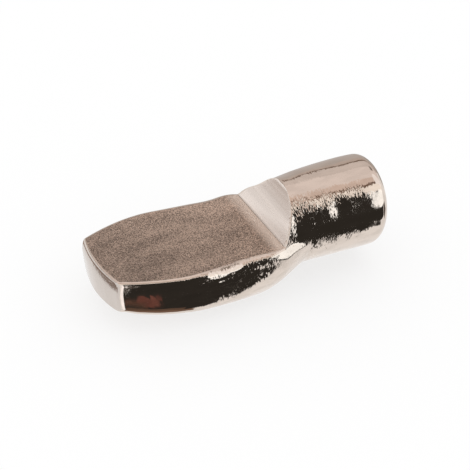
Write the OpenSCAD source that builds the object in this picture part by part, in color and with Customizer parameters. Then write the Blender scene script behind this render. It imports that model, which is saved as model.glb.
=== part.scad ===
// Spoon-type shelf support pin: a round pin for a bored panel and, in one
// piece with it, a pressed blade whose flat top carries the shelf.
//
// Frame: the origin is on the pin's axis, in the plane of the panel's face.
// +X runs into the panel, towards the pin's end. +Z is up, out of the shelf
// flat. The blade reaches along -X. Millimetres and degrees.

/* [Pin] */
// Diameter of the pin, a sliding fit in a 1/4 inch hole
pin_d = 6.3; // [5:0.05:7]
// Length of the pin, from the panel's face to its end
pin_len = 6.3; // [4:0.1:12]
// Radius that rounds the edge of the pin's end
pin_end_r = 0.8; // [0.2:0.05:1.4]

/* [Blade from above] */
// Reach of the blade, from the panel's face to the middle of its tip
blade_len = 14.2; // [12:0.1:20]
// Width of the blade where its shoulder ends
shoulder_w = 7.7; // [7:0.05:10]
// Distance from the panel's face at which the blade starts to widen
shoulder_start = 1; // [0.2:0.05:2]
// Length over which the blade widens to its shoulder
shoulder_len = 2.8; // [1.5:0.05:4]
// Angle by which each side leans outwards beyond the shoulder
side_splay = 2.5; // [0:0.1:4]
// Length of the stretch before the tip in which each side bows inwards
bow_len = 6.1; // [3:0.1:7]
// Radius of that bowed stretch
bow_r = 14; // [11:0.5:40]
// Radius of the tip's arc
tip_r = 9.2; // [7:0.1:30]

/* [Flat and ramp] */
// Height of the shelf flat above the pin's axis
flat_z = 0.25; // [0.2:0.05:1]
// Distance from the panel's face to the crest of the ramp
crest_gap = 0.9; // [0.5:0.05:2]
// Steepness of the ramp that rises from the flat to the crest
ramp_angle = 67; // [50:1:80]

/* [Underside] */
// Depth of the belly below the pin's axis, where the neck ends
belly_depth = 3.85; // [3.5:0.05:5]
// Distance from the panel's face to the end of the neck
belly_dist = 1.95; // [1.4:0.05:4]
// Depth of the underside below the pin's axis, at the tip
tip_depth = 1.95; // [1.5:0.05:3]
// Radius of the long curve of the underside, from the belly to the tip
underside_r = 100; // [40:1:300]
// Radius of the underside's long edges, at the tip
tip_corner_r = 0.55; // [0.3:0.05:1]
// Lean of the side walls, which narrow downwards
wall_draft = 1; // [0:0.1:4]
// Lean of the tip's end face, which is undercut downwards
end_lean = 2; // [0:0.5:6]

/* [Edges] */
// Radius along the edge of the flat and of the ramp
rim_r = 0.2; // [0.1:0.01:0.2]
// Radius that eases the crest of the ramp
crest_r = 0.25; // [0.1:0.05:0.5]
// Radius round the tip's end face
end_edge_r = 0.22; // [0.1:0.01:0.35]

/* [Hidden] */

nickel = [0.78, 0.71, 0.66];
pin_r = pin_d / 2;
// The blank that the blade is pressed from meets the pin a hair inside its edge
seam = 0.01;
blank_r = pin_r - seam;

// Where along the blade things start and end, as distances from the panel
shoulder_end = shoulder_start + shoulder_len;
bow_start = blade_len - bow_len;
ramp_base = crest_gap + (blank_r - flat_z) / tan(ramp_angle);
crest_start = crest_gap - crest_r * tan(ramp_angle / 2);
crest_end = crest_start + crest_r * sin(ramp_angle);
end_station = blade_len - end_edge_r;

// How finely the surfaces are drawn
round_steps = 96;
quarter_steps = 17;
tip_edge_steps = 4;
blade_steps = 34;
blade_easing = 1.4;
ramp_steps = 10;
crest_steps = 4;
neck_steps = 4;

// Fraction of the way along a stretch, or all the way where it has no length
function along(v, start, len) = len > 0 ? (v - start) / len : 1;
function mix(a, b, t) = a + (b - a) * t;
function smooth(t) = t <= 0 ? 0 : t >= 1 ? 1 : t * t * (3 - 2 * t);
function arc_drop(r, t) = r - sqrt(r * r - t * t);

// Half width of the blade at a distance from the panel
function half_w(d) =
    let (side = shoulder_w / 2 + tan(side_splay) * (d - shoulder_end))
    mix(blank_r, side, smooth(along(d, shoulder_start, shoulder_len)))
        - arc_drop(bow_r, max(0, d - bow_start));

// Height of the top: the flat, the ramp, and the crest's eased edge
function top_z(d) =
    d >= ramp_base ? flat_z
        : d >= crest_end ? blank_r - tan(ramp_angle) * (d - crest_gap)
        : blank_r - arc_drop(crest_r, max(0, d - crest_start));

// Depth of the underside below the axis: one long curve, blended into the pin
function depth(d) =
    let (
        chord = blade_len - belly_dist,
        t = d - belly_dist,
        bulge = arc_drop(underside_r, chord / 2) - arc_drop(underside_r, t - chord / 2),
        long_curve = mix(belly_depth, tip_depth, t / chord) + bulge
    )
    mix(blank_r, long_curve, smooth(d / belly_dist));

// Radius of the underside's long edges: the blank's own at the panel
function corner_r(d) = mix(tip_corner_r, blank_r, pow(1 - d / blade_len, 2));

// How far a section's points are set back. It grows from nothing where the
// sides start to bow, so that the last section lies on the tip's end face.
function setback(d, y, z) =
    max(0, along(d, bow_start, bow_len))
        * (arc_drop(tip_r, y) + tan(end_lean) * (flat_z - z));

// A quarter of a section is a chain of a line, an arc, and a line or an arc.
// Points are shared out along it by length and by turning together, so that
// tight edges get as many points as long faces.
function share(lens, turns) =
    let (all = lens[0] + lens[1] + lens[2])
    [for (i = [0:2]) lens[i] / all + turns[i] / 90];

// Upper quarter, from the middle of the top (u = 0) out to the side (u = 1):
// half the flat, the rim, and the round of the blank below it
function upper_point(u, w, zt) =
    let (
        core = blank_r - rim_r,
        rim_z = zt - rim_r,
        rim_y = sqrt(max(0, core * core - rim_z * rim_z)),
        a = atan2(rim_z, rim_y),
        s = share([rim_y, rim_r * (90 - a) * PI / 180, blank_r * a * PI / 180],
                  [0, 90 - a, a]),
        v = 2 * u,
        p = v < s[0] ? [rim_y * v / s[0], zt]
            : v < s[0] + s[1]
                ? let (b = 90 - (90 - a) * (v - s[0]) / s[1])
                  [rim_y + rim_r * cos(b), rim_z + rim_r * sin(b)]
                : let (b = a * (1 - along(v, s[0] + s[1], s[2])))
                  blank_r * [cos(b), sin(b)]
    )
    [p[0] * w / blank_r, p[1]];

// Lower quarter, from the side (u = 0) to the middle of the underside (u = 1):
// the wall, the long edge, and half the bottom
function lower_point(u, w, h, c) =
    let (
        wall = h - c,
        foot = w - c - tan(wall_draft) * wall,
        s = share([wall, c * PI / 2, foot], [0, 90, 0]),
        v = 2 * u
    )
    v < s[0] ? [mix(w, foot + c, v / s[0]), -v / s[0] * wall]
        : v < s[0] + s[1]
            ? let (b = 90 * (v - s[0]) / s[1])
              [foot + c * cos(b), -wall - c * sin(b)]
            : [foot * (1 - along(v, s[0] + s[1], s[2])), -h];

// One closed section, drawn in by an inset and pushed out by an advance
function section(d, inset = 0, advance = 0) =
    let (
        w = half_w(d),
        zt = top_z(d),
        h = depth(d),
        c = corner_r(d),
        half = concat(
            [for (i = [0:quarter_steps - 1]) upper_point(i / quarter_steps, w, zt)],
            [for (i = [0:quarter_steps]) lower_point(i / quarter_steps, w, h, c)]),
        ring = concat(half, [for (i = [len(half) - 2:-1:1]) [-half[i][0], half[i][1]]]),
        mid_z = (zt - h) / 2,
        shrink_y = 1 - inset / w,
        shrink_z = 1 - 2 * inset / (zt + h)
    )
    [for (p = ring)
        let (y = p[0] * shrink_y, z = mid_z + (p[1] - mid_z) * shrink_z)
        [setback(d, y, z) - d - advance, y, z]];

// Stations from the tip to the panel, closer together towards the ramp
function spread(from, to, steps) = [for (i = [0:steps - 1]) mix(from, to, i / steps)];
stations = concat(
    [for (i = [0:blade_steps - 1])
        mix(ramp_base, end_station, pow(1 - i / blade_steps, blade_easing))],
    spread(ramp_base, crest_end, ramp_steps),
    spread(crest_end, crest_start, crest_steps),
    spread(crest_start, 0, neck_steps),
    [0]);
tip_rings = [for (i = [0:tip_edge_steps - 1])
    let (a = 90 * i / tip_edge_steps)
    section(end_station, end_edge_r * (1 - sin(a)), end_edge_r * cos(a))];
blade_rings = concat(tip_rings, [for (d = stations) section(d)]);

// Skin over the rings. The tip's end face is made of upright strips, each
// between a point of the top and its partner below, so that it keeps the
// round of the tip's arc.
module skin(rings) {
    n = len(rings[0]);
    half = n / 2;
    last = len(rings) - 1;
    sides = [for (i = [0:last - 1], j = [0:n - 1])
        let (k = (j + 1) % n)
        [i * n + j, i * n + k, (i + 1) * n + k, (i + 1) * n + j]];
    end_face = [for (j = [0:half / 2 - 1], side = [1, -1])
        let (
            top = [j, j + 1],
            low = [half - j, half - j - 1],
            a = side > 0 ? top : [for (t = top) (n - t) % n],
            b = side > 0 ? low : [for (t = low) n - t]
        )
        side > 0 ? [a[1], a[0], b[0], b[1]] : [a[0], a[1], b[1], b[0]]];
    panel_face = [for (j = [0:n - 1]) last * n + j];
    polyhedron(
        points = [for (r = rings, p = r) p],
        faces = concat(sides, end_face, [panel_face]),
        convexity = 4);
}

module blade() {
    skin(blade_rings);
}

module pin() {
    barrel = pin_len - pin_end_r;
    rotate([0, 90, 0]) {
        cylinder(h = barrel, r = pin_r, $fn = round_steps);
        translate([0, 0, barrel])
            rotate_extrude($fn = round_steps)
                intersection() {
                    square([pin_r, pin_end_r]);
                    union() {
                        square([pin_r - pin_end_r, pin_end_r]);
                        translate([pin_r - pin_end_r, 0])
                            circle(r = pin_end_r, $fn = round_steps);
                    }
                }
    }
}

module support_pin() {
    color(nickel)
        union() {
            pin();
            blade();
        }
}

support_pin();
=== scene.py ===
"""Looks of the spoon-type shelf support pin: one plated mesh in place of the CAD node.

The frame is the CAD's: the origin is on the pin's axis, in the plane of the panel's face, +X runs
into the panel and +Z is up. The blade reaches along -X, and its near side is at -Y.
"""

import math

import bpy
import numpy as np
from mathutils import Matrix, Vector


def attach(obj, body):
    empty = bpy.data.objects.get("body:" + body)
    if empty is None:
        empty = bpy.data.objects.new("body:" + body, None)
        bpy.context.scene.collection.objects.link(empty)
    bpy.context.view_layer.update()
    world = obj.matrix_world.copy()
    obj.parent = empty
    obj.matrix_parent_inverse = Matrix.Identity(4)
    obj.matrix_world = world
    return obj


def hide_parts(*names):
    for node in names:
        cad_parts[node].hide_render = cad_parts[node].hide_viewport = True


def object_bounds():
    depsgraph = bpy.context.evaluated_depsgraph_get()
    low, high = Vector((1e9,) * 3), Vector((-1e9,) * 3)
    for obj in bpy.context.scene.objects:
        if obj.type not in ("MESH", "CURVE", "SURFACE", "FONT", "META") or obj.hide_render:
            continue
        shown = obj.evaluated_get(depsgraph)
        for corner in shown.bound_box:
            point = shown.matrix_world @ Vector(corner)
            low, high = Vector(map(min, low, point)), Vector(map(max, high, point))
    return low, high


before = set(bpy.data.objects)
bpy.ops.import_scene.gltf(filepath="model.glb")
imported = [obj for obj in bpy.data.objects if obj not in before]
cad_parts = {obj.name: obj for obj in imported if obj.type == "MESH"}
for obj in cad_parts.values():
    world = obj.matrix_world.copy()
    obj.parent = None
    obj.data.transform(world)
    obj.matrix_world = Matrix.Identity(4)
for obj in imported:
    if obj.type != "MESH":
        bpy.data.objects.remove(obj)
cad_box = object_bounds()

MM = 0.001
NODE = "support_pin"

# ---------------------------------------------------------------- sizes of the part, in millimetres
# A distance, or d, is measured from the panel's face towards the tip, against X. A turn goes round
# a section in degrees, from the near side at -Y over the top to the far side at +Y. A table of
# distances and values stands for the smooth curve through them.

# The mesh is drawn a hair smaller than the solid, to stay inside its box
INSIDE = 0.9997
PIN_R = 3.15
PIN_LEN = 6.195
PIN_END_R = 0.8
# The barrel draws in a hair before its rounded end: from where, and how fast
PIN_EASE_FROM = 4.4
PIN_EASE = 0.02
# The end of the pin is cut a little out of square, towards +Y and +Z
PIN_SKEW_Y = 0.03
PIN_SKEW_Z = 0.03

BLADE_LEN = 14.19
SHOULDER_W = 7.64
SHOULDER_START = 1.0
SHOULDER_LEN = 2.8
SIDE_SPLAY = math.radians(1.6)
BOW_LEN = 6.1
BOW_R = 14.0
# The far side stands out a little further, at the neck and towards the tip
FAR_OUT = ((1.4, 0), (2.4, 0.16), (3.2, 0.1), (4, 0.02), (6, 0.06), (8, 0.08), (9.5, 0.12),
           (11.5, 0.16), (14.2, 0.16))

TIP_R = 9.2
# The tip is cut a little out of square
TIP_SKEW = 0.03
# The foot of its end face is set back towards both sides, more suddenly on the near side: by so
# much for each millimetre of height, at a half width
NEAR_CUT = 0.15
NEAR_CUT_POWER = 4
FAR_CUT = 0.14
TIP_HALF_W = 3.2
# The end face bulges a little from a height on, more sharply upwards than downwards
END_BULGE_Z = -0.5
END_BULGE_TOP_R = 4.0
END_BULGE_FOOT_R = 14.0
# Radius of the upright corners beside the end face, where the sides already lean in by an angle
CORNER_R = 0.42
CORNER_FROM = math.radians(21)
# Rounding of the end face's long edges: along the blade, and in height
END_EDGE_X = 0.16
END_EDGE_Z = 0.2

FLAT_Z = 0.25
CREST_GAP = 0.9
RAMP_ANGLE = math.radians(67)
CREST_R = 0.25
# The ramp is a little hollow
RAMP_HOLLOW = 0.1
# Radius along the edge of the ramp and of the flat
RIM = ((0.8, 0.3), (1.6, 0.34), (2.6, 0.31), (3.5, 0.46), (4.5, 0.53), (5.5, 0.5), (7.2, 0.42),
       (9, 0.33), (11, 0.31), (14.2, 0.33))

BELLY_DEPTH = 3.84
BELLY_DIST = 1.85
TIP_DEPTH = 2.12
UNDERSIDE_R = 250.0
# Near the tip the underside hangs down a little further
TIP_SAG = ((9.5, 0), (11, 0.07), (12.2, 0.14), (13.2, 0.12), (14.2, -0.01))
# The near side leans outwards on the way down, in full where the wall takes up a third of the depth
WALL_LEAN = math.radians(2.2)
WALL_LEAN_SHARE = 1 / 3
# Depth at which the wall turns into the underside's long edge, and that edge's reach inwards
FOOT = ((0, 0), (0.5, 0.04), (1, 0.15), (2, 0.5), (3, 0.86), (4, 1.3), (5, 1.7), (6, 1.92),
        (7, 1.98), (9, 1.92), (11, 1.84), (13, 1.8), (14.2, 1.72))
EDGE_REACH = ((0, 3.15), (0.5, 2.95), (1.5, 2.9), (2, 2.75), (2.5, 2.4), (3, 2.07), (4, 1.72),
              (5, 1.61), (6, 1.45), (7, 1.22), (8, 1.0), (9, 0.86), (10, 0.75), (11.5, 0.66),
              (14.2, 0.62))
# The far side's long edge grows rounder from a distance on, by so much at the tip
FAR_FROM = 9.0
FAR_FOOT = 0.35
FAR_REACH = 0.8

# Below the top, the sides flare out of the pin sooner, and stand out by so much more
SIDE_SWELL = ((0, 0), (0.4, 0.06), (0.8, 0.17), (1.2, 0.29), (1.6, 0.35), (2, 0.37), (2.3, 0.33),
              (2.6, 0.26), (2.85, 0.195), (3.1, 0.135), (3.3, 0.09), (3.5, 0.055), (3.7, 0.035),
              (4.2, 0.03), (5, 0.025), (6, 0.02), (7.5, 0.02), (9, 0))
# Heights between which that grows to its full size, and the share of the way in which it bends at
# either end
SWELL_TOP = ((0.4, 0.1), (0.8, 0.22), (1.2, 0.36), (2.2, 0.32), (3, 0.25), (3.8, 0.2))
SWELL_FOOT = ((0.4, -0.15), (0.8, -0.2), (1.2, -0.22), (2.2, -0.44), (2.7, -0.32), (3.4, -0.3),
              (6, -0.6))
SWELL_BEND = 0.26

# The far shoulder was drawn down a little as the ramp was pressed: how fast, from how far inside
# the pin, about which turn, how far round it, where along the blade it ends, and over what length
# it fades out before that
SINK_RATE = 0.0125
SINK_REACH = 5.0
SINK_TURN = 135
SINK_HALF = 45
SINK_END = BLADE_LEN / 2
SINK_FADE = 3.0
# Shallow dents in the round of the pin, and a faint rise, which has a negative depth: place along
# X, turn, half length, half turn, depth
DENTS = (
    (-0.3, 108, 1.3, 28, 0.09),
    (2.2, 36, 1.0, 22, 0.03),
    (-1.7, 27, 1.7, 24, 0.035),
    (1.9, 97, 0.9, 16, -0.008),
)

SHOULDER_END = SHOULDER_START + SHOULDER_LEN
BOW_START = BLADE_LEN - BOW_LEN
RAMP_BASE = CREST_GAP + (PIN_R - FLAT_Z) / math.tan(RAMP_ANGLE)
CREST_START = CREST_GAP - CREST_R * math.tan(RAMP_ANGLE / 2)
CREST_END = CREST_START + CREST_R * math.sin(RAMP_ANGLE)
CORNER_LEN = CORNER_R * (1 - math.sin(CORNER_FROM))
CORNER_START = BLADE_LEN - CORNER_LEN
BARREL_END = PIN_END_R - PIN_LEN

# ---------------------------------------------------------------- how finely the mesh is drawn
# Points along the pieces of an outline, before the points are shared out again
ROUND_POINTS = 361
WALL_POINTS = 98
EDGE_POINTS = 181
BOTTOM_POINTS = 9
TOP_POINTS = 11
RIM_POINTS = 25
# Points nearer to each other than this count as one
SAME_POINT = 1e-5
# The top is pressed only where it ends up lower than the outline by more than this
LEAST_PRESS = 1e-3
# Faces round half a section, above and below a height
HALF_UPPER = 56
HALF_LOWER = 40
SPLIT_Z = -0.45
# Rings along the part. Those of the blade stand a little closer together towards the ramp.
END_RINGS = 13
CORNER_RINGS = 16
BLADE_RINGS = 190
BLADE_EASING = 0.9
RAMP_RINGS = 40
CREST_RINGS = 20
PIN_RINGS = 110
PIN_EDGE_RINGS = 14
# The angle from which an edge between two faces is sharp
SHARP_FROM = math.radians(35)

# ---------------------------------------------------------------- finishes, in millimetres
# Reflectance of the bright plate, of the duller faces at both ends, of the skin that the press
# left on the flat, also where that is smoother, and of the ramp
BRIGHT = (0.70, 0.61, 0.54)
END_SKIN = (0.64, 0.575, 0.53)
FLAT_SKIN = (0.42, 0.325, 0.265)
FLAT_SMOOTH = (0.88, 0.77, 0.68)
RAMP_SKIN = (0.85, 0.76, 0.7)
# Tones between which these colours vary, as factors
BRIGHT_TONES = (0.925, 1.02)
END_TONES = (0.93, 1)
FLAT_TONES = (0.34, 1.66)
RAMP_TONES = (0.9, 1)

# A noise is how far apart its lumps are, and its detail. It is drawn out along an axis whose scale
# is small. A spread is which of its values are used, and what they turn into. A zone is an axis, a
# stretch of it, and the values at the two ends of that stretch.

# The orange peel leans the normals of the bright plate to and fro, mostly round the part
PEEL_NOISE = (0.07, 2.0)
PEEL_DRAWN = (1, 0.32, 0.32)
PEEL_LEAN = (0.22, 1, 1)
# Zones that make it stronger or calmer everywhere: along the blade, along the pin, and round it
PEEL_ZONES = (
    ("X", (-11.5, -7), (0.012, 0.34)),
    ("X", (-3, -1), (1, 3.2)),
    ("X", (0, 1), (1, 0.66)),
    ("X", (1.2, 2.4), (1, 0.6)),
    ("X", (3.9, 5.6), (1, 0.03)),
    ("Y", (0.2, 1.6), (1, 0.25)),
    ("Z", (2.1, 3.0), (1, 0.15)),
)
# Zones that do so by height on the pin only, and where that starts
PIN_HEIGHT_ZONES = (
    ("Z", (0.5, 1.7), (0.5, 1.15)),
    ("Z", (-0.2, 0.5), (1.5, 1)),
)
PIN_HEIGHT_FROM = ("X", (-2, -0.5), (0, 1))
# A zone in which it is stronger beside the flat, and the heights at which that begins
RIM_ZONE = ("X", (-3.5, -2.5), (2.8, 1))
RIM_HEIGHT_FROM = ("Z", (-0.75, -0.2), (0, 1))
# A calm wedge of the blade's wall, below a height and above a line that falls towards the tip, and
# where it ends before the neck. Below that line the peel is a little stronger.
WEDGE_BELOW = ("Z", (-0.65, -0.35), (0.45, 1))
WEDGE_LINE_FALL = 0.3
WEDGE_ABOVE = ((0.2, 0.55), (1.35, 0.45))
WEDGE_END = ("X", (-2.8, -2.2), (0, 1))
# The neck is calmer and rougher
NECK_ZONES = (
    ("X", (-3.0, -2.2), (0, 0.6)),
    ("X", (-0.6, 0.3), (1, 0)),
    ("Z", (-0.3, 0.6), (1, 0)),
)
NECK_ROUGHNESS = 0.3
# The peel comes in patches
PATCH_NOISE = (0.6, 2.0)
PATCH_SPREAD = ((0.4, 0.65), (0.75, 1.75))
# Long, low waves under the peel, calmer towards the tip
WAVE_NOISE = (1.6, 1.0)
WAVE_HEIGHT = 0.05
WAVE_ZONE = ("X", (-12, -9), (0.15, 1))
# Lengthwise streaks in the plate's colour
STREAK_NOISE = (0.45, 3.0)
STREAK_DRAWN = (0.35, 1, 1)
STREAK_SPREAD = ((0.35, 0.65), (0, 1))
# How rough the plate is
GLOSS_NOISE = (0.5, 3.0)
GLOSS_SPREAD = ((0.3, 0.7), (0.04, 0.09))
# Scuffs below the near rim lean the normals up: place along X and in height, half length, half
# height. Each fades out on the last stretch towards its edge.
SCUFFS = (
    (-7.2, 0.02, 1.0, 0.42),
    (-6.3, 0.1, 1.0, 0.26),
    (-7.05, -0.6, 0.3, 0.07),
)
SCUFF_Y = -3.7
SCUFF_HALF_Y = 1.2
SCUFF_LEAN = (0.13, 0, 0.42)
SCUFF_FADE = ((0.7, 1.0), (1, 0))

# The faces at both ends, drawn upright by the shears
END_NOISE = (0.3, 3.0)
END_DRAWN = (1, 1, 0.3)
END_HEIGHT = 0.01
END_CLOUD = (0.9, 3.0)
END_ROUGHNESS = 0.17

# The flat's sandy grain, its specks and the clouds among them
FLAT_GRAIN = (0.08, 2.0)
FLAT_GRAIN_HEIGHT = 0.1
FLAT_SPECKS = (0.075, 2.0)
FLAT_CLOUD = (0.9, 3.0)
FLAT_CLOUD_DRAWN = (0.25, 1, 1)
FLAT_CLOUD_SHARE = 0.3
FLAT_SPREAD = ((0.43, 0.87), (0, 1))
FLAT_ROUGHNESS = 0.3
# It is darker towards the tip, paler towards the far side, and smooth beside the ramp
FLAT_SHADES = (
    ("X", (-13, -4), (0.87, 1.1)),
    ("Y", (0.5, 3.5), (1, 1.14)),
)
FLAT_SMOOTHER = ("X", (-3.3, -2.3), (0, 1))

# Faint stripes across the ramp's slope
RAMP_STRIPES = (0.6, 1.0)
RAMP_DRAWN = (1, 0.06, 1)
RAMP_HEIGHT = 0.006
RAMP_SPREAD = ((0.35, 0.65), (0, 1))
RAMP_ROUGHNESS = 0.2

# Painted shade and dirt in the corner at the foot of the ramp: distances from it between which the
# darkening fades out, and how much of the colour is left in the corner
SOIL_SHADE_FADE = (0.02, 0.07)
SOIL_SHADE_ON_FLAT = 0.5
SOIL_SHADE_ON_RAMP = 0.8

# How squarely a face looks up or along X, to have the finish of the flat, the ramp or an end. A
# face of the flat lies lower by a slack at most, a face of the ramp looks hardly aside, and a face
# of the tip lies within a stretch of its corners' start.
FLAT_FACING = 0.9999
FLAT_SLACK = 0.01
RAMP_FACING = 0.8
RAMP_ASIDE = 0.01
PIN_END_FACING = 0.98
TIP_FACING = 0.7
TIP_STRETCH = 1.5

# ---------------------------------------------------------------- camera
CAMERA_AZIMUTH = math.radians(-29.7342)
CAMERA_ELEVATION = math.radians(35.3667)
CAMERA_ROLL = math.radians(3.9905)
CAMERA_DISTANCE = 113.4 * MM
CAMERA_AIM = Vector((-4.0654, 0, -0.3729)) * MM
CAMERA_LENS = 131.21
CAMERA_SENSOR = 36
CAMERA_CLIP = 5 * MM

# ---------------------------------------------------------------- studio, in metres
WHITE = (1, 1, 1, 1)
FLOOR_Z = cad_box[0][2]
FLOOR_HALF = 0.6
# How far the floor glows instead of only catching light, so that it is white under a soft shadow
FLOOR_GLOW = 0.7
# Glowing cards, which the camera doesn't see, are bent round the X axis. Their places are angles
# round it: 0 is level in front, 90 overhead, 180 level behind. Each card stands a little nearer
# than the one before it, and covers it.
CARD_R = 2.0
CARD_GAP = 0.002
CARD_POINTS = 24
BLACK = (0.034, 0.031, 0.027)
# Name, first and last angle, first and last place along X, colour times strength
CARDS = (
    ("card_rust_low", -80, -60, -0.45, 0.6, (0.22, 0.14, 0.1)),
    ("card_black_low", -60, -45, -0.55, 0.985, BLACK),
    ("softbox_right", 4, 49, 1.2, 4.5, (1.42, 1.48, 1.5)),
    ("softbox", 49, 66, -4.5, 4.5, (1.15, 1.1, 1.04)),
    ("card_black", -45, -30, -0.55, 1.22, BLACK),
    ("card_black_mid", -30, 4, -0.55, 2.6, BLACK),
    ("card_black_step", 4, 10, -0.55, 1.3, BLACK),
    ("card_black_top", 10, 49, -0.55, 1.22, BLACK),
    ("card_black_crest", 49, 54, -0.55, 1.0, BLACK),
    ("card_rust_foot", -60, -43, -0.45, 0.3, (0.14, 0.09, 0.065)),
    ("card_rust_tail", -42, -40.6, -0.52, -0.3, (0.13, 0.07, 0.05)),
    ("card_rust_a", -40.8, -38.6, -0.36, -0.2, (0.17, 0.07, 0.055)),
    ("card_rust_b", -39.2, -37.2, -0.24, -0.12, (0.2, 0.083, 0.065)),
    ("card_rust_c", -37.4, -36, -0.15, -0.07, (0.13, 0.055, 0.045)),
    ("card_brown_left", -46, 30, -0.68, -0.55, (0.06, 0.05, 0.042)),
    ("softbox_left", -60, 30, -1.7, -0.7, (1.38, 1.38, 1.42)),
    ("card_dark_right", -60, 0, 2.9, 6.0, (0.12, 0.1, 0.085)),
    ("card_red", 64.5, 71.8, -4.5, 4.5, (0.21, 0.14, 0.105)),
    ("card_tan", 71, 86, -4.5, 4.5, (0.82, 0.68, 0.61)),
    ("card_pink", 86, 120, -4.5, 4.5, (0.93, 0.85, 0.82)),
    ("card_pale", 120, 144, -4.5, 4.5, (0.78, 0.71, 0.68)),
    ("card_line", 144, 149, -4.5, 4.5, (0.25, 0.19, 0.155)),
    ("card_warm", 149, 160, 0, 4.5, (0.61, 0.53, 0.49)),
    ("card_end_white", 64, 94, 1.23, 6.0, (1.18, 1.15, 1.15)),
    ("card_end_dark", 106, 122, 1.27, 1.9, (0.33, 0.29, 0.26)),
    ("card_grey", 160, 215, 0, 4.5, (0.58, 0.535, 0.51)),
    ("card_back_dark", 178, 204, 1.7, 6.0, (0.42, 0.39, 0.36)),
    ("card_brown", 190, 212, -1.15, 0, (0.42, 0.32, 0.26)),
    ("card_brown_far_a", 190, 217.5, -4.5, -1.12, (0.29, 0.21, 0.165)),
    ("card_brown_far_b", 217.5, 222, -4.5, -1.33, (0.27, 0.195, 0.155)),
    ("card_brown_far_c", 222, 226, -4.5, -1.5, (0.25, 0.18, 0.145)),
    ("card_brown_far_d", 226, 234, -4.5, -1.72, (0.25, 0.18, 0.145)),
    ("card_brown_far_e", 234, 275, -4.5, -2.6, (0.3, 0.22, 0.18)),
)

# ---------------------------------------------------------------- form


def smooth(t):
    """From 0 to 1, level at both ends."""
    t = min(max(t, 0.0), 1.0)
    return t * t * (3 - 2 * t)


def ramped(t, bend):
    """From 0 to 1 at an even pace, with a short bend at either end."""
    t = np.clip(t, 0, 1)
    rise = t * t / (2 * bend * (1 - bend))
    fall = 1 - (1 - t) ** 2 / (2 * bend * (1 - bend))
    return np.where(t < bend, rise, np.where(t > 1 - bend, fall, (t - bend / 2) / (1 - bend)))


def lobe(offset, half):
    """A smooth hump, 1 in its middle and 0 beyond its half width."""
    return np.cos(np.clip(offset / half, -1, 1) * math.pi / 2) ** 2


def mix(a, b, t):
    """From a to b, as t goes from 0 to 1."""
    return a + (b - a) * t


def arc_drop(r, t):
    """How far an arc of radius r has fallen at a distance t from its crown."""
    return r - np.sqrt(r * r - t * t)


def curve(knots, d):
    """A smooth curve through knots of distance and value, level at both ends."""
    at, value = np.array(knots).T
    if d <= at[0]:
        return value[0]
    if d >= at[-1]:
        return value[-1]
    slope = np.gradient(value, at)
    slope[0] = slope[-1] = 0
    k = np.searchsorted(at, d) - 1
    gap = at[k + 1] - at[k]
    t = (d - at[k]) / gap
    return (value[k] * (1 + 2 * t) * (1 - t) ** 2 + value[k + 1] * t * t * (3 - 2 * t)
            + gap * t * (1 - t) * (slope[k] * (1 - t) - slope[k + 1] * t))


def half_w(d):
    """Half width of the blade and the pin."""
    side = SHOULDER_W / 2 + math.tan(SIDE_SPLAY) * (d - SHOULDER_END)
    wide = mix(PIN_R, side, smooth((d - SHOULDER_START) / SHOULDER_LEN))
    return wide - arc_drop(BOW_R, max(0.0, d - BOW_START))


def top_z(d):
    """Height of the top: the flat, the ramp, and the crest's eased edge."""
    if d >= RAMP_BASE:
        return FLAT_Z
    if d >= CREST_END:
        t = (d - CREST_END) / (RAMP_BASE - CREST_END)
        # A parabola, as deep as the hollow halfway down the ramp
        hollow = 4 * RAMP_HOLLOW * t * (1 - t)
        return PIN_R - math.tan(RAMP_ANGLE) * (d - CREST_GAP) - hollow
    return PIN_R - arc_drop(CREST_R, max(0.0, d - CREST_START))


def depth(d):
    """Depth of the underside below the pin's axis."""
    if d <= 0:
        return PIN_R
    chord = BLADE_LEN - BELLY_DIST
    t = d - BELLY_DIST
    bulge = arc_drop(UNDERSIDE_R, chord / 2) - arc_drop(UNDERSIDE_R, t - chord / 2)
    long_curve = mix(BELLY_DEPTH, TIP_DEPTH, t / chord) + bulge + curve(TIP_SAG, d)
    return mix(PIN_R, long_curve, smooth(d / BELLY_DIST))


def setback(d, y, z):
    """How far the points of a section are set back towards the pin, in full at the tip."""
    share = max(0.0, (d - BOW_START) / BOW_LEN)
    bulge_r = np.where(z > END_BULGE_Z, END_BULGE_TOP_R, END_BULGE_FOOT_R)
    foot = np.clip(END_BULGE_Z - z, 0, None)
    near_foot = foot * np.clip(-y / TIP_HALF_W, 0, 1) ** NEAR_CUT_POWER
    far_foot = foot * np.clip(y / TIP_HALF_W, 0, 1)
    return share * (arc_drop(TIP_R, y) - TIP_SKEW * y + NEAR_CUT * near_foot
                    + FAR_CUT * far_foot + arc_drop(bulge_r, z - END_BULGE_Z))


def pin_ease(d):
    """How far the barrel has drawn in."""
    return PIN_EASE * max(0.0, -d - PIN_EASE_FROM) ** 2


def pin_skew(y, z):
    """How far a point of the pin's end stands out along X."""
    return PIN_SKEW_Y * y + PIN_SKEW_Z * z


def radius(d, turn):
    """Radius of the blank at a turn."""
    sink = SINK_RATE * max(0.0, d + SINK_REACH) ** 2 * smooth((SINK_END - d) / SINK_FADE)
    r = PIN_R - pin_ease(d) - sink * lobe(turn - SINK_TURN, SINK_HALF)
    for x, middle, half_len, half_turn, deep in DENTS:
        r = r - deep * lobe(-d - x, half_len) * lobe(turn - middle, half_turn)
    return r


def round_line(d, far, w):
    """The blank's round, from the top to the side at a half width."""
    angle = np.linspace(math.pi / 2, 0, ROUND_POINTS)
    turn = np.degrees(angle)
    r = radius(d, 180 - turn if far else turn)
    return np.stack([r * np.cos(angle) * w / PIN_R, r * np.sin(angle)], 1)


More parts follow.
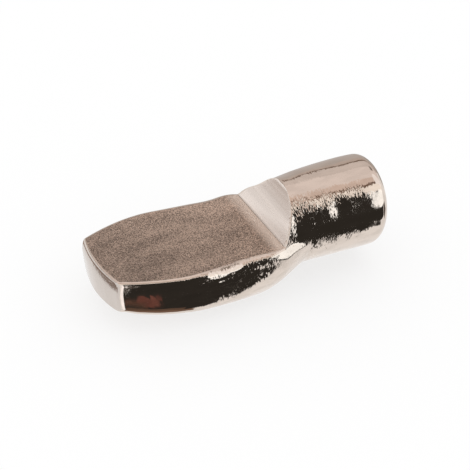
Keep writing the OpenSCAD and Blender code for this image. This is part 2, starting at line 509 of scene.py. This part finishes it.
def lower_line(w, h, foot, reach, lean):
    """From the side down the wall and round the long edge to the middle of the underside."""
    # The long edge starts where an ellipse has the lean of the wall
    start = math.atan((h - foot) / reach * lean)
    turn = np.linspace(-start, math.pi / 2, EDGE_POINTS)
    fall = foot + (h - foot) * np.sin(turn)
    middle = w + lean * fall[0] - reach * math.cos(start)
    edge = np.stack([middle + reach * np.cos(turn), -fall], 1)
    down = np.linspace(0, 1, WALL_POINTS + 2)[1:-1]
    wall = np.stack([mix(w, edge[0, 0], down), -fall[0] * down], 1)
    inwards = np.linspace(middle, 0, BOTTOM_POINTS + 1)[1:]
    bottom = np.stack([inwards, np.full(BOTTOM_POINTS, -h)], 1)
    return np.concatenate([wall, edge, bottom])


def swollen(line, d):
    """A line of a section, pushed out at the side by the swell of the neck."""
    top, foot = curve(SWELL_TOP, d), curve(SWELL_FOOT, d)
    share = ramped((top - line[:, 1]) / (top - foot), SWELL_BEND)
    out = curve(SIDE_SWELL, d) * share * np.clip(line[:, 0] / PIN_R, 0, 1)
    return np.stack([line[:, 0] + out, line[:, 1]], 1)


def side_line(d, far):
    """The blank's outline, from the top over the side to the middle of the underside."""
    ease = pin_ease(d)
    w, h = half_w(d), depth(d) - ease
    foot, reach, lean = curve(FOOT, d), curve(EDGE_REACH, d) - ease, 0.0
    if far:
        share = smooth((d - FAR_FROM) / (BLADE_LEN - FAR_FROM))
        w += curve(FAR_OUT, d)
        foot -= FAR_FOOT * share
        reach += FAR_REACH * share
    else:
        lean = math.tan(WALL_LEAN) * smooth(foot / h / WALL_LEAN_SHARE)
    lower = lower_line(w - ease, h, foot, reach, lean)
    return swollen(np.concatenate([round_line(d, far, w), lower]), d)


def without_repeats(line):
    """The line without points that lie on the one before them."""
    step = np.diff(line, axis=0)
    return np.concatenate([line[:1], line[1:][np.hypot(step[:, 0], step[:, 1]) > SAME_POINT]])


def crossing(line, z):
    """Where a line falls past a height: the next point's number, and how far on the way to it."""
    k = int(np.argmax(line[:, 1] <= z))
    return k, (z - line[k - 1, 1]) / (line[k, 1] - line[k - 1, 1])


def resample(line, count):
    """Points shared out along a line by its length and its turning together."""
    step = np.diff(line, axis=0)
    length = np.hypot(step[:, 0], step[:, 1])
    heading = np.unwrap(np.arctan2(step[:, 1], step[:, 0]))
    turn = np.abs(np.diff(heading, prepend=heading[0]))
    cost = length / length.sum() + turn / (math.pi / 2)
    along = np.concatenate([[0], np.cumsum(cost)])
    u = np.linspace(0, along[-1], count + 1)
    return np.stack([np.interp(u, along, line[:, k]) for k in (0, 1)], 1)


def pressed(side, height, rim_r):
    """An outline cut off by the flat or the ramp at a height, with a rim between the two."""
    if height >= side[0, 1] - LEAST_PRESS:
        return side
    tangent = np.gradient(side, axis=0)
    normal = np.stack([-tangent[:, 1], tangent[:, 0]], 1)
    normal /= np.linalg.norm(normal, axis=1)[:, None]
    core = side - rim_r * normal
    k, t = crossing(core, height - rim_r)
    centre = mix(core[k - 1], core[k], t)
    facing = mix(normal[k - 1], normal[k], t)
    turn = np.linspace(math.pi / 2, math.atan2(facing[1], facing[0]), RIM_POINTS)
    rim = centre + rim_r * np.stack([np.cos(turn), np.sin(turn)], 1)
    outwards = np.linspace(0, centre[0], TOP_POINTS + 1)[:-1]
    top = np.stack([outwards, np.full(TOP_POINTS, height)], 1)
    return np.concatenate([top, rim, side[k + 1:]])


def half_section(d, far):
    """From the middle of the top to the middle of the underside."""
    side = without_repeats(side_line(d, far))
    line = without_repeats(pressed(side, top_z(d), curve(RIM, d)))
    k, t = crossing(line, SPLIT_Z)
    split = mix(line[k - 1], line[k], t)[None]
    upper = resample(np.concatenate([line[:k], split]), HALF_UPPER)
    lower = resample(np.concatenate([split, line[k:]]), HALF_LOWER)
    return np.concatenate([upper, lower[1:]])


def section(d, inset_y=0.0, inset_z=0.0, advance=0.0):
    """One closed ring: from the middle of the top down the far side and up the near side."""
    far, near = half_section(d, True), half_section(d, False)
    ring = np.concatenate([far, near[-2:0:-1] * [-1, 1]])
    top, bottom = top_z(d), -depth(d)
    mid = (top + bottom) / 2
    y = ring[:, 0] * (1 - inset_y / half_w(d))
    z = mid + (ring[:, 1] - mid) * (1 - 2 * inset_z / (top - bottom))
    x = setback(d, y, z) - d - advance + max(0.0, -d / PIN_LEN) * pin_skew(y, z)
    return np.stack([x, y, z], 1)


def corner_ring(a):
    """A ring of the rounding round the tip's end face, at an angle of the corner's turn."""
    advance = CORNER_R * (math.sin(a) - math.sin(CORNER_FROM))
    inset_y = CORNER_R * (math.cos(CORNER_FROM) - math.cos(a))
    t = max(0.0, 1 - (CORNER_LEN - advance) / END_EDGE_X)
    inset_z = END_EDGE_Z * (1 - math.sqrt(1 - t * t))
    return section(CORNER_START, inset_y, inset_z, advance)


def tip_ring(t):
    """A ring of the tip's end face, drawn in towards its middle."""
    ring = corner_ring(math.pi / 2)
    mid = (ring[:, 2].max() + ring[:, 2].min()) / 2
    y, z = ring[:, 1] * t, mid + (ring[:, 2] - mid) * t
    return np.stack([setback(BLADE_LEN, y, z) - BLADE_LEN, y, z], 1)


def pin_ring(x, r):
    """A ring of the pin's rounded edge or of its end."""
    ring = section(BARREL_END)
    y, z = ring[:, 1] * r / PIN_R, ring[:, 2] * r / PIN_R
    return np.stack([x + pin_skew(y, z), y, z], 1)


def stations():
    """Distances of the rings from the tip's corners to the pin's rounded edge."""
    eased = np.linspace(0, 1, BLADE_RINGS)[:-1] ** BLADE_EASING
    return np.concatenate([
        mix(CORNER_START, RAMP_BASE, eased),
        np.linspace(RAMP_BASE, CREST_END, RAMP_RINGS)[:-1],
        np.linspace(CREST_END, CREST_START, CREST_RINGS)[:-1],
        np.linspace(CREST_START, BARREL_END, PIN_RINGS),
    ])


def all_rings():
    """Every ring, from the middle of the tip to the middle of the pin's end."""
    inwards = np.linspace(1, 0, END_RINGS)[1:-1]
    rings = [tip_ring(t) for t in inwards[::-1]]
    rings += [corner_ring(a) for a in np.linspace(math.pi / 2, CORNER_FROM, CORNER_RINGS)[:-1]]
    rings += [section(d) for d in stations()]
    for a in np.linspace(0, math.pi / 2, PIN_EDGE_RINGS)[1:]:
        x = PIN_LEN - PIN_END_R * (1 - math.sin(a))
        rings.append(pin_ring(x, PIN_R - PIN_END_R * (1 - math.cos(a))))
    return rings + [pin_ring(PIN_LEN, (PIN_R - PIN_END_R) * t) for t in inwards]


def skin(rings):
    """Points and faces over the rings, closed at each end by a fan round its middle."""
    n = len(rings[0])
    last = (len(rings) - 1) * n
    tip, end = last + n, last + n + 1
    points = np.concatenate([*rings, tip_ring(0)[:1], pin_ring(PIN_LEN, 0)[:1]])
    faces = []
    for j in range(n):
        k = (j + 1) % n
        faces.append((tip, j, k))
        faces += [(i + j, i + n + j, i + n + k, i + k) for i in range(0, last, n)]
        faces.append((last + j, end, last + k))
    return points, faces


def new_object(name, points, faces):
    """An object in the scene, with a mesh by the same name."""
    data = bpy.data.meshes.new(name)
    data.from_pydata(points, [], faces)
    data.update()
    obj = bpy.data.objects.new(name, data)
    bpy.context.scene.collection.objects.link(obj)
    return obj


# ---------------------------------------------------------------- finishes
# ShaderNodeMix has several sockets by each name. These are the numbers of its colour ones.
MIX_A, MIX_B, MIX_RESULT = 6, 7, 2


class Tree:
    """A node tree that is emptied first and then built up."""

    def __init__(self, owner):
        owner.use_nodes = True
        self.tree = owner.node_tree
        self.tree.nodes.clear()

    def add(self, kind, inputs=(), **settings):
        """A node with its settings, and with its inputs linked or set, by their names or numbers."""
        node = self.tree.nodes.new(kind)
        for name, value in settings.items():
            setattr(node, name, value)
        for name, value in dict(inputs).items():
            if isinstance(value, bpy.types.NodeSocket):
                self.tree.links.new(value, node.inputs[name])
            else:
                node.inputs[name].default_value = value
        return node


class Finish(Tree):
    """The nodes of one of the metal's materials. Lengths are in millimetres."""

    def __init__(self, name):
        self.material = bpy.data.materials.new(name)
        super().__init__(self.material)
        self.place = self.add("ShaderNodeTexCoord").outputs["Object"]
        self.axes = self.add("ShaderNodeSeparateXYZ", {"Vector": self.place}).outputs

    def math(self, operation, a, b):
        return self.add("ShaderNodeMath", {0: a, 1: b}, operation=operation).outputs["Value"]

    def vector(self, operation, inputs):
        return self.add("ShaderNodeVectorMath", inputs, operation=operation).outputs["Vector"]

    def product(self, first, *others):
        for other in others:
            first = self.math("MULTIPLY", first, other)
        return first

    def blend(self, factor, a, b):
        return self.add("ShaderNodeMix", {"Factor": factor, "A": a, "B": b}).outputs["Result"]

    def blend_colours(self, factor, a, b):
        node = self.add("ShaderNodeMix", {"Factor": factor, MIX_A: a, MIX_B: b}, data_type="RGBA")
        return node.outputs[MIX_RESULT]

    def toned(self, factor, colour, tones):
        """A colour that varies between a darker and a lighter tone."""
        dark, light = [[tone * v for v in colour] for tone in tones]
        return self.blend_colours(factor, (*dark, 1), (*light, 1))

    def remap(self, value, old, new):
        """A value eased from one range to another, and held at the ends."""
        node = self.add("ShaderNodeMapRange", {
            "Value": value, "From Min": old[0], "From Max": old[1],
            "To Min": new[0], "To Max": new[1]}, interpolation_type="SMOOTHSTEP")
        return node.outputs["Result"]

    def over(self, length, stretch, values):
        """A value that changes over a stretch of a length."""
        return self.remap(length, [v * MM for v in stretch], values)

    def zone(self, axis, stretch, values):
        """A value that changes over a stretch of an axis."""
        return self.over(self.axes[axis], stretch, values)

    def zones(self, rows):
        return [self.zone(*row) for row in rows]

    def drawn(self, scale):
        """Places drawn out along the axes whose scale is small."""
        node = self.add("ShaderNodeMapping", {"Vector": self.place, "Scale": scale})
        return node.outputs["Vector"]

    def noise(self, apart, detail, place=None, output="Fac"):
        """Noise whose lumps are about so far apart."""
        node = self.add("ShaderNodeTexNoise", {
            "Vector": self.place if place is None else place,
            "Scale": 1 / (apart * MM), "Detail": detail})
        return node.outputs[output]

    def bump(self, height, most, **inputs):
        """Normals over a relief, whose height is from 0 to 1 and stands for that much at most."""
        node = self.add("ShaderNodeBump", {
            "Height": height, "Strength": 1.0, "Distance": most * MM, **inputs})
        return node.outputs["Normal"]

    def done(self, colour, roughness, normal):
        """The material, as a metal of this colour."""
        bsdf = self.add("ShaderNodeBsdfPrincipled", {
            "Base Color": colour, "Metallic": 1.0, "Roughness": roughness, "Normal": normal})
        self.add("ShaderNodeOutputMaterial", {"Surface": bsdf.outputs["BSDF"]})
        return self.material


def calm_wedge(nodes):
    """The factor of the calm wedge in the middle of the blade's wall."""
    fall = nodes.math("MULTIPLY", nodes.axes["X"], -WEDGE_LINE_FALL)
    over_line = nodes.math("ADD", nodes.axes["Z"], fall)
    above = nodes.over(over_line, *WEDGE_ABOVE)
    wedge = nodes.math("MAXIMUM", nodes.zone(*WEDGE_BELOW), above)
    return nodes.blend(nodes.zone(*WEDGE_END), wedge, 1.0)


def peel_amount(nodes, neck):
    """How strongly the orange peel leans the normals, from place to place."""
    by_height = nodes.product(*nodes.zones(PIN_HEIGHT_ZONES))
    on_pin = nodes.blend(nodes.zone(*PIN_HEIGHT_FROM), 1.0, by_height)
    beside_flat = nodes.blend(nodes.zone(*RIM_HEIGHT_FROM), 1.0, nodes.zone(*RIM_ZONE))
    patches = nodes.remap(nodes.noise(*PATCH_NOISE), *PATCH_SPREAD)
    off_neck = nodes.math("SUBTRACT", 1.0, neck)
    return nodes.product(*nodes.zones(PEEL_ZONES), on_pin, beside_flat, calm_wedge(nodes),
                         patches, off_neck)


def peeled(nodes, amount):
    """Normals that lean to and fro, in short streaks drawn out round the part."""
    lean = nodes.noise(*PEEL_NOISE, nodes.drawn(PEEL_DRAWN), "Color")
    middle = [-v / 2 for v in PEEL_LEAN]
    even = nodes.vector("MULTIPLY_ADD", {0: lean, 1: PEEL_LEAN, 2: middle})
    part = nodes.vector("SCALE", {0: even, "Scale": amount})
    normal = nodes.add("ShaderNodeNewGeometry").outputs["Normal"]
    return nodes.vector("NORMALIZE", {0: nodes.vector("ADD", {0: normal, 1: part})})


def scuffed(nodes, normal):
    """Normals that lean upwards where the near wall is scuffed below its rim."""
    for x, z, half_x, half_z in SCUFFS:
        scale = [1 / (v * MM) for v in (half_x, SCUFF_HALF_Y, half_z)]
        middle = [-v * MM * s for v, s in zip((x, SCUFF_Y, z), scale)]
        local = nodes.add("ShaderNodeMapping", {
            "Vector": nodes.place, "Location": middle, "Scale": scale})
        away = nodes.add("ShaderNodeVectorMath", {0: local.outputs["Vector"]}, operation="LENGTH")
        share = nodes.remap(away.outputs["Value"], *SCUFF_FADE)
        lean = nodes.vector("SCALE", {0: SCUFF_LEAN, "Scale": share})
        normal = nodes.vector("ADD", {0: normal, 1: lean})
    return nodes.vector("NORMALIZE", {0: normal})


def bright_plate():
    """Bright plate over the orange peel of the pressed blank."""
    nodes = Finish("nickel_bright")
    neck = nodes.product(*nodes.zones(NECK_ZONES))
    peel = scuffed(nodes, peeled(nodes, peel_amount(nodes, neck)))
    calmer = nodes.zone(*WAVE_ZONE)
    wave = nodes.bump(nodes.noise(*WAVE_NOISE), WAVE_HEIGHT, Strength=calmer, Normal=peel)
    streak = nodes.remap(nodes.noise(*STREAK_NOISE, nodes.drawn(STREAK_DRAWN)), *STREAK_SPREAD)
    colour = nodes.toned(streak, BRIGHT, BRIGHT_TONES)
    cloudy = nodes.remap(nodes.noise(*GLOSS_NOISE), *GLOSS_SPREAD)
    roughness = nodes.math("ADD", cloudy, nodes.math("MULTIPLY", neck, NECK_ROUGHNESS))
    return nodes.done(colour, roughness, wave)


def soiled_and_shaded(nodes, colour, least):
    """A colour that darkens into the corner at the foot of the ramp: painted shade and dirt."""
    past_corner = nodes.math("ADD", nodes.axes["X"], RAMP_BASE * MM)
    away = nodes.math("ABSOLUTE", past_corner, 0.0)
    return nodes.vector("SCALE", {0: colour, "Scale": nodes.over(away, SOIL_SHADE_FADE, (least, 1))})


def flat_skin():
    """The flat's matt, sandy skin, duller towards the tip and smoother beside the ramp."""
    nodes = Finish("nickel_flat")
    cloud = nodes.noise(*FLAT_CLOUD, nodes.drawn(FLAT_CLOUD_DRAWN))
    clouds = nodes.math("MULTIPLY", cloud, FLAT_CLOUD_SHARE)
    specks = nodes.remap(nodes.math("ADD", nodes.noise(*FLAT_SPECKS), clouds), *FLAT_SPREAD)
    sand = nodes.toned(specks, FLAT_SKIN, FLAT_TONES)
    shaded = nodes.vector("SCALE", {0: sand, "Scale": nodes.product(*nodes.zones(FLAT_SHADES))})
    colour = nodes.blend_colours(nodes.zone(*FLAT_SMOOTHER), shaded, (*FLAT_SMOOTH, 1))
    grain = nodes.bump(nodes.noise(*FLAT_GRAIN), FLAT_GRAIN_HEIGHT)
    # The corner at the foot of the ramp is darkened with painted shade and dirt
    return nodes.done(soiled_and_shaded(nodes, colour, SOIL_SHADE_ON_FLAT), FLAT_ROUGHNESS, grain)


def ramp_skin():
    """The ramp, smoother than the flat, with faint stripes across its slope."""
    nodes = Finish("nickel_ramp")
    stripes = nodes.noise(*RAMP_STRIPES, nodes.drawn(RAMP_DRAWN))
    colour = nodes.toned(nodes.remap(stripes, *RAMP_SPREAD), RAMP_SKIN, RAMP_TONES)
    relief = nodes.bump(stripes, RAMP_HEIGHT)
    # The corner at the foot of the ramp is darkened with painted shade and dirt
    return nodes.done(soiled_and_shaded(nodes, colour, SOIL_SHADE_ON_RAMP), RAMP_ROUGHNESS, relief)


def end_skin():
    """The faces at both ends, sheared off and a little duller than the sides."""
    nodes = Finish("nickel_end")
    colour = nodes.toned(nodes.noise(*END_CLOUD), END_SKIN, END_TONES)
    relief = nodes.bump(nodes.noise(*END_NOISE, nodes.drawn(END_DRAWN)), END_HEIGHT)
    return nodes.done(colour, END_ROUGHNESS, relief)


# The metal's materials, in the order of their slots
FINISHES = (bright_plate, flat_skin, ramp_skin, end_skin)
PLATE, FLAT, RAMP, END = range(4)


def finish_of(face):
    """Which finish a face has, by its place and by the way it looks."""
    centre, normal = face.center / MM / INSIDE, face.normal
    if normal.z > FLAT_FACING and centre.x < -RAMP_BASE and centre.z > FLAT_Z - FLAT_SLACK:
        return FLAT
    on_ramp = -RAMP_BASE < centre.x < -CREST_GAP
    if on_ramp and normal.x < -RAMP_FACING and abs(normal.y) < RAMP_ASIDE:
        return RAMP
    at_tip = centre.x < TIP_STRETCH - CORNER_START
    if normal.x > PIN_END_FACING or (at_tip and normal.x < -TIP_FACING):
        return END
    return PLATE


def add_pin():
    """The plated pin, with its mesh and its finishes."""
    points, faces = skin(all_rings())
    piece = new_object("support_pin_plated", points * MM * INSIDE, faces)
    mesh = piece.data
    mesh.shade_smooth()
    for finish in FINISHES:
        mesh.materials.append(finish())
    for face in mesh.polygons:
        face.material_index = finish_of(face)
    mesh.set_sharp_from_angle(angle=SHARP_FROM)
    return piece


piece = add_pin()
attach(piece, "root")
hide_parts(NODE)

# ---------------------------------------------------------------- camera and studio


def add_camera():
    """The camera, looking at its aim from an azimuth and an elevation, and rolled a little."""
    data = bpy.data.cameras.new("camera")
    data.sensor_width = CAMERA_SENSOR
    data.lens = CAMERA_LENS
    data.clip_start = CAMERA_CLIP
    camera = bpy.data.objects.new("camera", data)
    bpy.context.scene.collection.objects.link(camera)
    bpy.context.scene.camera = camera
    level = math.cos(CAMERA_ELEVATION)
    back = Vector((math.sin(CAMERA_AZIMUTH) * level, -math.cos(CAMERA_AZIMUTH) * level,
                   math.sin(CAMERA_ELEVATION)))
    right = Vector((0, 0, 1)).cross(back).normalized()
    up = back.cross(right)
    c, s = math.cos(CAMERA_ROLL), math.sin(CAMERA_ROLL)
    turn = Matrix((c * right + s * up, c * up - s * right, back)).transposed().to_4x4()
    camera.matrix_world = Matrix.Translation(CAMERA_AIM + back * CAMERA_DISTANCE) @ turn


def add_card(r, name, start, end, x0, x1, colour):
    """A glowing card, bent round the X axis."""
    angle = np.radians(np.linspace(start, end, CARD_POINTS))
    arc = np.stack([-r * np.cos(angle), r * np.sin(angle)], 1)
    points = [(x, y, z) for y, z in arc for x in (x0, x1)]
    faces = [(i, i + 1, i + 3, i + 2) for i in range(0, len(points) - 2, 2)]
    card = new_object(name, points, faces)
    mat = bpy.data.materials.new(name)
    nodes = Tree(mat)
    glow = nodes.add("ShaderNodeEmission", {"Color": (*colour, 1), "Strength": 1.0})
    nodes.add("ShaderNodeOutputMaterial", {"Surface": glow.outputs["Emission"]})
    card.data.materials.append(mat)
    card.visible_camera = False
    card.visible_diffuse = False
    card.visible_shadow = False


def add_floor():
    """A white floor that keeps a soft shadow of the part."""
    s = FLOOR_HALF
    corners = [(-s, -s, FLOOR_Z), (s, -s, FLOOR_Z), (s, s, FLOOR_Z), (-s, s, FLOOR_Z)]
    floor = new_object("floor", corners, [(0, 1, 2, 3)])
    mat = bpy.data.materials.new("floor")
    nodes = Tree(mat)
    matt = nodes.add("ShaderNodeBsdfDiffuse", {"Color": WHITE})
    glow = nodes.add("ShaderNodeEmission", {"Color": WHITE, "Strength": 1.0})
    both = nodes.add("ShaderNodeMixShader", {
        "Fac": FLOOR_GLOW, 1: matt.outputs["BSDF"], 2: glow.outputs["Emission"]})
    nodes.add("ShaderNodeOutputMaterial", {"Surface": both.outputs["Shader"]})
    floor.data.materials.append(mat)
    floor.visible_glossy = False


def add_world():
    """An even white world."""
    world = bpy.data.worlds.new("studio")
    bpy.context.scene.world = world
    nodes = Tree(world)
    white = nodes.add("ShaderNodeBackground", {"Color": WHITE, "Strength": 1.0})
    nodes.add("ShaderNodeOutputWorld", {"Surface": white.outputs["Background"]})


add_camera()
for order, card in enumerate(CARDS):
    add_card(CARD_R - CARD_GAP * order, *card)
add_floor()
add_world()
bpy.context.scene.view_settings.view_transform = "Standard"
